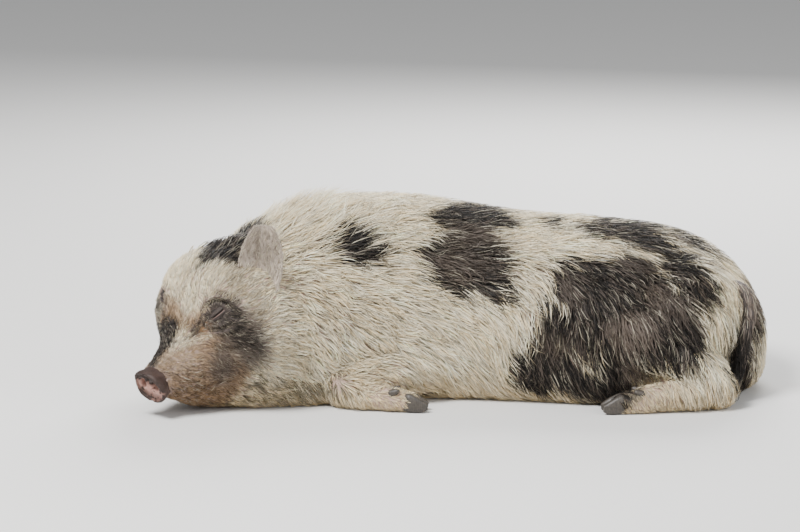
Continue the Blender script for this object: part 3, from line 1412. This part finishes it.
def strands(name, lines, normals, widths, kind, colours, spots):
    """A piece of closed tapered strands of three sides along the lines."""
    shape = kind.form["widths"]
    count, rings = len(widths), len(shape)
    points = []
    for number in range(rings):
        ahead = unit(lines[number + 1] - lines[number])
        across = unit(np.cross(normals, ahead))
        over = unit(np.cross(ahead, across))
        half = (widths * shape[number] / 2)[:, None]
        middle = lines[number]
        points += [middle - across * half, middle + across * half, middle + over * half * 1.1]
    points.append(lines[-1])
    per, last = 3 * rings + 1, 3 * (rings - 1)
    places = np.stack(points, axis=1).reshape(-1, 3)
    faces = [(0, 2, 1)]
    for low in range(0, last, 3):
        for side, after in ((0, 1), (1, 2), (2, 0)):
            faces.append((low + side, low + after, low + 3 + after))
            faces.append((low + side, low + 3 + after, low + 3 + side))
    faces += [(last + side, last + (side + 1) % 3, per - 1) for side in range(3)]
    corners = (np.array(faces)[None] + (np.arange(count) * per)[:, None, None]).reshape(-1, 3)
    mesh = bpy.data.meshes.new(name)
    mesh.vertices.add(len(places))
    mesh.loops.add(corners.size)
    mesh.polygons.add(len(corners))
    mesh.vertices.foreach_set("co", places.astype(np.float32).ravel())
    mesh.loops.foreach_set("vertex_index", corners.astype(np.int32).ravel())
    mesh.polygons.foreach_set("loop_start", np.arange(0, corners.size, 3, dtype=np.int32))
    mesh.update(calc_edges=True)
    tones = np.append(np.repeat(kind.shading[:rings], 3), kind.shading[-1])
    paint_vertices(mesh, (colours[:, None, :] * tones[None, :, None]).reshape(-1, 3))
    layer = mesh.uv_layers.new(name="OFBake")
    patch = [(side / 2, number / rings) for number in range(rings) for side in range(3)] + [(0.5, 1)]
    spread = (spots[:, None, :] + np.array(patch)[None] * PATCH_SIZE).reshape(-1, 2)[corners.ravel()]
    layer.data.foreach_set("uv", spread.astype(np.float32).ravel())
    return linked(name, mesh)


def unwrapped(points):
    """Each point's spot on the body unrolled from its spine, from 0 to 1 both ways."""
    _, place, _, _, turn = along_body(points)
    across = place / SPINE_PLACES[-1]
    return np.column_stack([across * (1 - PATCH_SIZE), (turn / (2 * math.pi) + 0.5) * (1 - PATCH_SIZE)])


def eye_distance(points):
    """How far each point is from the nearer eye."""
    return np.minimum(*[np.linalg.norm(points - np.array(eye), axis=1) for eye in EYES])


def ear_distance(points):
    """How far each point is from the nearer ear's root."""
    roots = [on_head(back, left * side, up) for side, ((back, left, up), _, _) in EARS.items()]
    return np.minimum(*[np.linalg.norm(points - np.array(root), axis=1) for root in roots])


def face_share(points):
    """1 where the short hair of the head grows, 0 where the bristles of the body do."""
    back, out, _ = head_places(points)
    return 1 - smooth(HEAD_END - 0.03, HEAD_END + 0.03, back + 0.25 * np.abs(out))


def foot_share(points):
    """1 at the toes, 0 from the hock or carpus up."""
    least = np.full(len(points), 9.0)
    for joints in JOINTS.values():
        for place, _ in joints[3:]:
            least = np.minimum(least, np.linalg.norm(points - np.array(place), axis=1))
    return 1 - smooth(0.02, 0.07, least)


def strand_colours(points, raised, ways, lengths, tufts, coat, draw):
    """Each strand's colour: that of its patch, with streaks, strays and uneven tone."""
    count = len(points)
    slip = draw.normal(0.62, 0.16, count) + draw.normal(0, 0.15, tufts.max() + 1)[tufts]
    seen = points + raised + ways * (lengths * slip)[:, None] + draw.normal(0, 0.0022, (count, 3))
    colours = coat_colours(seen, coat)
    light = colours.mean(axis=1)
    tone = draw.normal(1.0, 0.12, count) * draw.normal(1.0, 0.09, tufts.max() + 1)[tufts]
    stray = draw.random(count)
    pale = (stray < 0.07) & (light < 0.22)
    colours[pale] = colours[pale] * 0.4 + np.array(coat.cream) * 0.38
    grizzled = (stray > 0.72) & (light < 0.12)
    colours[grizzled] = colours[grizzled] * 0.5 + np.array(coat.brown) * 0.6
    picture = in_picture(near_side(seen))
    streaked = inside_marks(STREAKED_MARKS, *picture, 0.0, 8.0)
    sooty = (stray > 0.975 - 0.24 * streaked) & (light > 0.12)
    colours[sooty] *= 0.30
    shaded = draw.random(tufts.max() + 1)[tufts] < 0.34 * streaked
    colours[shaded] *= np.where(light[shaded] > 0.3, 0.36, 0.72)[:, None]
    uneven = np.clip(rough(points, 0.040, 61) + 0.6 * rough(points, 0.014, 62), -0.2, 1)
    colours *= 1 - uneven[:, None] * np.array((0.06, 0.08, 0.13))
    yellow = (draw.random(count) < 0.35) & (light > 0.3)
    colours[yellow] *= np.array((1.0, 0.92, 0.78))
    low = 1 - smooth(0.01, 0.07, points[:, 2])
    colours *= 1 - low[:, None] * np.array((0.10, 0.17, 0.28))
    return np.clip(colours * np.maximum(tone, 0.3)[:, None], 0.004, 0.95)


def grow(context, name, host, kind, count, seed, density, dress):
    """Grows strands on a piece and makes them into pieces of a size that can be exported."""
    draw = np.random.default_rng(seed)
    ground = bpy.data.objects[host].data
    roots, normals = sample_surface(ground, count, draw, density)
    ways, lengths, stands, widths, *own = dress(roots, normals, draw)
    tufts = gather(roots, draw, kind.tufts)
    groups = tufts.max() + 1
    turns = draw.normal(0, kind.stray * 1.3, groups)[tufts] + draw.normal(0, kind.stray, count)
    ways = unit(ways * np.cos(turns)[:, None] + np.cross(normals, ways) * np.sin(turns)[:, None])
    lengths = lengths * draw.uniform(0.65, 1.2, count)
    widths = widths * draw.uniform(0.75, 1.2, count)
    curl = draw.normal(0, kind.curl, groups)[tufts] + draw.normal(0, kind.curl / 2, count)
    lines, tops = trace(search_tree(ground), roots, normals, ways, lengths, stands, kind, curl)
    lines = drawn_together(lines, tufts, draw.uniform(*kind.pull, groups)[tufts])
    if own:
        colours = own[0]
    else:
        raised = normals * (stands * 0.85)[:, None]
        coat = context.scene.minipig_coat
        colours = strand_colours(roots, raised, ways, lengths, tufts, coat, draw)
    spots = unwrapped(roots)
    per = 6 * (len(kind.form["widths"]) - 1) + 4
    pieces = math.ceil(count * per / MOST_TRIANGLES)
    order = np.argsort(along_body(roots)[1], kind="stable")
    for number, group in enumerate(np.array_split(order, pieces)):
        title = f"{name}_{number + 1}" if pieces > 1 else name
        some = [line[group] for line in lines]
        made = strands(title, some, tops[group], widths[group], kind, colours[group], spots[group])
        finish_piece(made, bpy.data.materials.get("bristles") or coat_finish(), "coat")
    return {"FINISHED"}


class MINIPIG_OT_body_coat(bpy.types.Operator):
    """The long bristles of neck, trunk and legs"""

    bl_idname = "minipig.body_coat"
    bl_label = "Body coat"

    def execute(self, context):
        coat = context.scene.minipig_coat

        def density(points, normals):
            kept = smooth(0.002, 0.006, points[:, 2]) * smooth(-0.98, -0.75, normals[:, 2])
            clear = smooth(0.008, 0.018, ear_distance(points))
            near = 1 + 0.3 * (points[:, 1] < 0.05)
            for leg in ("foreleg_left", "foreleg_right"):
                away = np.linalg.norm(points - np.array(JOINTS[leg][2][0]), axis=1)
                near = near + 1.1 * bell(away, 0.040)
            return kept * clear * (1 - face_share(points)) * near * (1 + 0.8 * foot_share(points))

        def dress(points, normals, draw):
            back, _, _ = head_places(points)
            feet = foot_share(points)
            neck = 1 - smooth(0.02, 0.12, back - HEAD_END)
            by_ear = 1 - smooth(0.03, 0.07, ear_distance(points))
            lengths = coat.body_length * (1 - 0.75 * feet) * (1 - 0.35 * neck) * (1 - 0.4 * by_ear)
            stands = coat.stand * (1 - 0.7 * feet) * (1 - 0.5 * by_ear) * draw.uniform(0.2, 1.0, len(points))
            ridge = bell(points[:, 0] + 0.063, 0.07) + 0.8 * bell(points[:, 0] - 0.29, 0.08)
            stands *= 1 + 0.5 * ridge * smooth(0.55, 0.9, normals[:, 2])
            return coat_way(points, normals), lengths, stands, coat.thickness * (1 - 0.35 * feet)

        return grow(context, "bristles_body", "skin", BODY_HAIR, coat.body_strands, 11, density, dress)


class MINIPIG_OT_face_coat(bpy.types.Operator):
    """The short hair of the head"""

    bl_idname = "minipig.face_coat"
    bl_label = "Face coat"

    def execute(self, context):
        coat = context.scene.minipig_coat

        def density(points, normals):
            back, _, _ = head_places(points)
            kept = smooth(0.002, 0.006, points[:, 2]) * smooth(-0.98, -0.75, normals[:, 2])
            clear = smooth(0.002, 0.006, ear_distance(points))
            clear *= 0.05 + 0.95 * smooth(0.006, 0.014, eye_distance(points))
            bare = smooth(0.011, 0.019, back)
            return kept * face_share(points) * bare * clear * (1.7 - 0.8 * smooth(0.03, 0.15, back))

        def dress(points, normals, draw):
            back, _, up = head_places(points)
            grown = smooth(0.02, 0.19, back)
            jowl = smooth(0.10, 0.17, back) * smooth(0.02, -0.03, up)
            by_eye = 0.36 + 0.64 * smooth(0.012, 0.034, eye_distance(points))
            lengths = (0.007 + 0.012 * grown + 0.026 * jowl) * by_eye
            stands = (0.0014 + 0.0036 * grown + 0.004 * jowl) * draw.uniform(0.25, 1.1, len(points))
            stands *= 1 - 0.65 * (bell(points[:, 0] + 0.295, 0.022) * smooth(0.3, 0.8, normals[:, 2]))
            widths = coat.thickness * (0.50 + 0.28 * grown)
            return coat_way(points, normals), lengths, stands * by_eye, widths

        return grow(context, "hairs_head", "skin", FACE_HAIR, coat.face_strands, 12, density, dress)


class MINIPIG_OT_ear_coat(bpy.types.Operator):
    """The fine hair of the ears"""

    bl_idname = "minipig.ear_coat"
    bl_label = "Ear coat"

    def execute(self, context):
        coat, skin = context.scene.minipig_coat, context.scene.minipig_skin
        for seed, (word, side) in enumerate(SIDES.items(), 13):
            ways = EARS[side][1:]
            tip, facing = (unit(AXES[0] * x + AXES[1] * y * side + AXES[2] * z) for x, y, z in ways)

            def density(points, normals):
                return 1.0 - 0.55 * smooth(0.1, 0.7, normals @ facing)

            def dress(points, normals, draw):
                ways = tip + 0.35 * np.outer(draw.normal(0, 1, len(points)), np.cross(tip, facing))
                grey = np.array(skin.ear) * draw.uniform(0.6, 1.35, (len(points), 1))
                pale = draw.random(len(points)) < 0.35
                grey[pale] = np.array(coat.cream) * draw.uniform(0.7, 1.0, (pale.sum(), 1))
                stands = draw.uniform(0.0006, 0.0030, len(points))
                sizes = (np.full(len(points), 0.011), stands, np.full(len(points), 0.0006))
                return unit(ways - normals * dots(ways, normals)), *sizes, grey

            name, leaf = f"hairs_ear_{word}", f"ear_leaf_{word}"
            grow(context, name, leaf, EAR_HAIR, coat.ear_strands, seed, density, dress)
        return {"FINISHED"}


class MINIPIG_OT_tail(bpy.types.Operator):
    """The tail, hanging along rump and thigh"""

    bl_idname = "minipig.tail"
    bl_label = "Tail"

    def execute(self, context):
        skin = context.scene.minipig_skin
        tree = search_tree(bpy.data.objects["skin"].data)
        x, y = TRUNK_STATIONS[-3][:2]
        centre = Vector((x, y, 0)) + PLACE
        path, radii = [], []
        for step in range(30):
            share = step / 29
            height = TAIL_ROOT_HEIGHT - (TAIL_LENGTH - 0.004) * share**0.9
            turn = math.radians(-34 - 20 * share)
            way = Vector((math.cos(turn), math.sin(turn), 0))
            point, normal, _, _ = tree.ray_cast(centre + way * 0.4 + Vector((0, 0, height)), -way)
            radii.append(TAIL_RADIUS - TAIL_TAPER * share + 0.0004 * math.sin(step * 2.2))
            path.append(point + normal * (-0.010 if step == 0 else radii[-1] + 0.005))
        for _ in range(3):
            path[1:-1] = [(a + b * 2 + c) / 4 for a, b, c in zip(path, path[1:], path[2:])]
        path.append(path[-1] + (path[-1] - path[-2]) * 0.6)
        radii.append(TAIL_TIP_RADIUS)
        made = body_from("tail_skin", [loft(round_rings(path, radii, 28))])
        lift(made.data, SKIN_CLEARANCE)
        tone = 1 + 0.3 * rough(places_of(made.data)[0], 0.01, 51)
        paint_vertices(made.data, np.array(skin.dark) * 1.5 * tone[:, None])
        finish_piece(made, skin_finish("tail_hide"), "coat", "tail")
        return {"FINISHED"}


class MINIPIG_OT_tail_coat(bpy.types.Operator):
    """The black brush of the tail"""

    bl_idname = "minipig.tail_coat"
    bl_label = "Tail coat"

    def execute(self, context):
        coat = context.scene.minipig_coat

        def density(points, normals):
            return 0.6 + smooth(0.13, 0.05, points[:, 2])

        def dress(points, normals, draw):
            down = np.tile((0.05, -0.15, -1.0), (len(points), 1)) + normals * 0.25
            down[:, :2] += draw.normal(0, 0.12, (len(points), 2))
            brush = smooth(0.14, 0.05, points[:, 2])
            tone = draw.normal(1.0, 0.2, (len(points), 1))
            colours = np.array(coat.black) * np.maximum(tone, 0.4)
            colours[draw.random(len(points)) < 0.14] = np.array(coat.brown) * 0.9
            upper = smooth(0.09, 0.125, points[:, 2] + draw.normal(0, 0.008, len(points)))
            greyed = np.array(coat.brown) * draw.uniform(0.4, 2.0, (len(points), 1))
            greyed[draw.random(len(points)) < 0.22] = np.array(coat.cream) * 0.55
            colours = np.clip(blend(colours, upper, greyed), 0.004, 1)
            stands = draw.uniform(0.001, 0.009, len(points)) * (0.3 + 0.7 * brush)
            widths = np.full(len(points), coat.thickness * 0.8)
            return unit(down - normals * dots(down, normals)), 0.020 + 0.024 * brush, stands, widths, colours

        return grow(context, "bristles_tail", "tail_skin", TAIL_HAIR, coat.tail_strands, 15, density, dress)


class MINIPIG_OT_mane(bpy.types.Operator):
    """Long loose bristles along the crest and the back that break the outline"""

    bl_idname = "minipig.mane"
    bl_label = "Mane"

    def execute(self, context):
        coat = context.scene.minipig_coat

        def withers(points):
            return bell(along_body(points)[1] - 0.285, 0.06)

        def density(points, normals):
            top = 1 - smooth(0.25, 0.75, np.abs(along_body(points)[4]))
            clear = (1 - face_share(points)) * smooth(0.012, 0.03, ear_distance(points))
            return top * (0.10 + withers(points)) * clear

        def dress(points, normals, draw):
            lengths = coat.body_length * (1.05 + 0.45 * withers(points))
            stands = coat.stand * (0.9 + 1.5 * withers(points)) * draw.uniform(0.4, 1.2, len(points))
            return coat_way(points, normals), lengths, stands, np.full(len(points), coat.thickness * 0.9)

        return grow(context, "bristles_mane", "skin", MANE_HAIR, coat.mane_strands, 16, density, dress)


class MINIPIG_OT_whiskers(bpy.types.Operator):
    """Stiff whiskers of muzzle and chin, and the lashes"""

    bl_idname = "minipig.whiskers"
    bl_label = "Whiskers"

    def execute(self, context):
        coat = context.scene.minipig_coat

        def density(points, normals):
            back, _, up = head_places(points)
            muzzle = smooth(0.016, 0.022, back) * (1 - smooth(0.055, 0.080, back))
            muzzle = muzzle * smooth(0.01, -0.01, up - 0.02)
            lashes = bell(eye_distance(points) - 0.014, 0.004) * smooth(0.07, 0.09, up)
            return (muzzle + 1.5 * lashes) * smooth(0.004, 0.010, points[:, 2])

        def dress(points, normals, draw):
            side = np.sign(head_places(points)[1])[:, None]
            ways = unit(AXES[0] * 0.5 + AXES[1] * side * 0.6 - AXES[2] * 0.1)
            ways = unit(ways - normals * dots(ways, normals))
            dark = draw.random((len(points), 1)) < 0.5
            colours = np.where(dark, np.array(coat.black) * 1.5, np.array(coat.cream) * 0.6)
            lengths, stands = draw.uniform(0.008, 0.018, len(points)), draw.uniform(0.003, 0.008, len(points))
            return ways, lengths, stands, np.full(len(points), 0.00042), colours

        return grow(context, "whiskers", "skin", WHISKER_HAIR, coat.whiskers, 17, density, dress)


class MINIPIG_OT_stage(bpy.types.Operator):
    """Floor, lights and the camera at the photograph's angle"""

    bl_idname = "minipig.stage"
    bl_label = "Stage"

    def lamp(self, name, place, size, power, target):
        """A square soft light aimed at a point."""
        data = bpy.data.lights.new(name, "AREA")
        data.energy, data.size = power, size
        made = linked(name, data)
        made.location = place
        made.rotation_euler = (Vector(target) - Vector(place)).to_track_quat("-Z", "Y").to_euler()

    def execute(self, context):
        stage = context.scene.minipig_stage
        half = FLOOR_WIDTH / 2
        corners = [(-half, -half, 0), (half, -half, 0), (half, half, 0), (-half, half, 0)]
        mesh = bpy.data.meshes.new("floor")
        mesh.from_pydata(corners, [], [(0, 1, 2, 3)])
        floor = linked("floor", mesh)
        finish = Finish("pale_floor")
        floor.data.materials.append(finish.set(Base_Color=(*stage.floor, 1), Roughness=0.85))
        self.lamp("key", (-1.3, -1.5, 2.7), 1.1, stage.key, (0, 0, 0.1))
        self.lamp("fill", (2.0, -1.6, 1.2), 2.0, stage.fill, (0, 0, 0.1))
        self.lamp("rim", (0.6, 2.2, 1.8), 1.6, stage.key * 0.6, (0, 0, 0.15))
        world = bpy.data.worlds.new("pale_world")
        world.use_nodes = True
        glow = world.node_tree.nodes["Background"].inputs
        glow["Color"].default_value = (0.95, 0.97, 1.0, 1)
        glow["Strength"].default_value = stage.sky
        context.scene.world = world
        camera = bpy.data.cameras.new("camera")
        camera.sensor_width = SENSOR_WIDTH
        camera.lens = PIXELS_PER_METRE * CAMERA_DISTANCE / IMAGE_WIDTH * SENSOR_WIDTH
        eye = linked("camera", camera)
        back = Vector((0, -math.cos(CAMERA_HEIGHT_ANGLE), math.sin(CAMERA_HEIGHT_ANGLE)))
        eye.location = CAMERA_TARGET + back * CAMERA_DISTANCE
        eye.rotation_euler = (-back).to_track_quat("-Z", "Y").to_euler()
        context.scene.camera = eye
        return {"FINISHED"}


OPERATORS = (
    MINIPIG_OT_skin,
    MINIPIG_OT_snout,
    MINIPIG_OT_ears,
    MINIPIG_OT_eyelids,
    MINIPIG_OT_claws,
    MINIPIG_OT_tail,
    MINIPIG_OT_body_coat,
    MINIPIG_OT_face_coat,
    MINIPIG_OT_ear_coat,
    MINIPIG_OT_tail_coat,
    MINIPIG_OT_mane,
    MINIPIG_OT_whiskers,
    MINIPIG_OT_stage,
)


class MINIPIG_PT_panel(bpy.types.Panel):
    """Lists the minipig's pieces"""

    bl_idname = "MINIPIG_PT_panel"
    bl_label = "Sleeping minipig"
    bl_space_type = "VIEW_3D"
    bl_region_type = "UI"
    bl_category = "Minipig"

    def draw(self, context):
        for operator in OPERATORS:
            self.layout.operator(operator.bl_idname)


GROUPS = {"minipig_skin": MinipigSkin, "minipig_coat": MinipigCoat, "minipig_stage": MinipigStage}
CLASSES = (*GROUPS.values(), *OPERATORS, MINIPIG_PT_panel)


def register():
    """Registers the classes and hangs their settings on the scene."""
    for made in CLASSES:
        bpy.utils.register_class(made)
    for name, group in GROUPS.items():
        setattr(bpy.types.Scene, name, PointerProperty(type=group))


def unregister():
    """Undoes register."""
    for name in GROUPS:
        delattr(bpy.types.Scene, name)
    for made in reversed(CLASSES):
        bpy.utils.unregister_class(made)


def main():
    """Makes every piece and writes how large the dressed model is."""
    register()
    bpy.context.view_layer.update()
    for operator in OPERATORS:
        area, name = operator.bl_idname.split(".")
        getattr(getattr(bpy.ops, area), name)()


if __name__ == "__main__":
    main()
